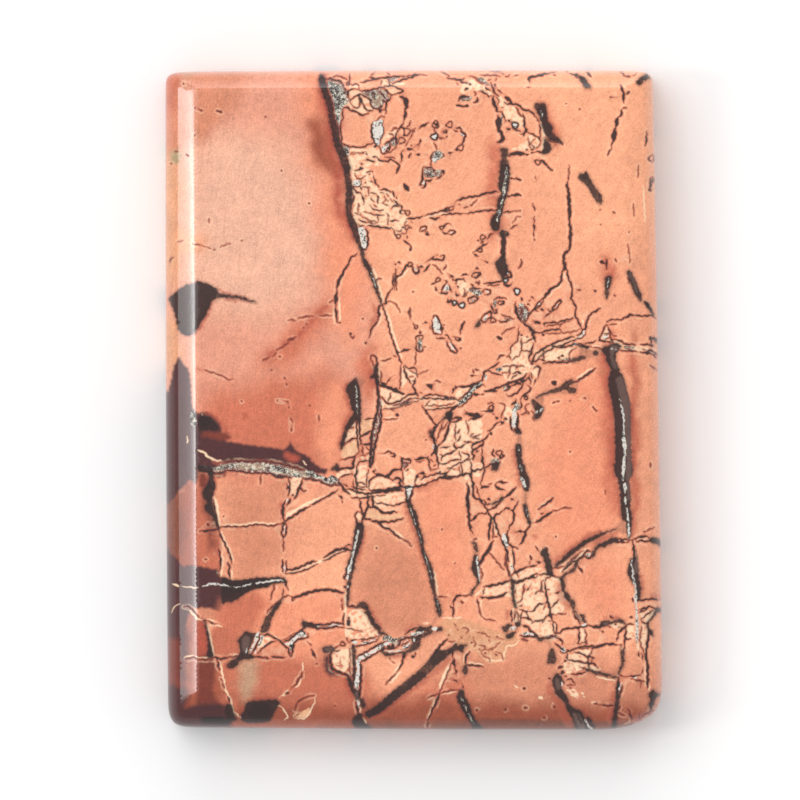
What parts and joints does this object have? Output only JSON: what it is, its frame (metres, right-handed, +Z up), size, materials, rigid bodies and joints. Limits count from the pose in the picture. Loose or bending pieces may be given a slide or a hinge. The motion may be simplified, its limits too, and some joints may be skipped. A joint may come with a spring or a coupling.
{
  "type": "mookaite cabochon",
  "caption": "Rectangular polished cabochon with a flat back, a bevelled shoulder and a low crown, for a bezel or a stone inlay.",
  "frame": {"origin": "middle of the flat back, which the stone lies on", "axes": "+Z up out of the crown, +Y along the length towards the edge with the narrow bevel, +X to the right as the crown is looked at"},
  "size_m": [0.0302, 0.04, 0.0056],
  "materials": {
    "stone": "polished"
  },
  "bodies": {
    "root": {"stone": "stone"}
  },
  "joints": []
}
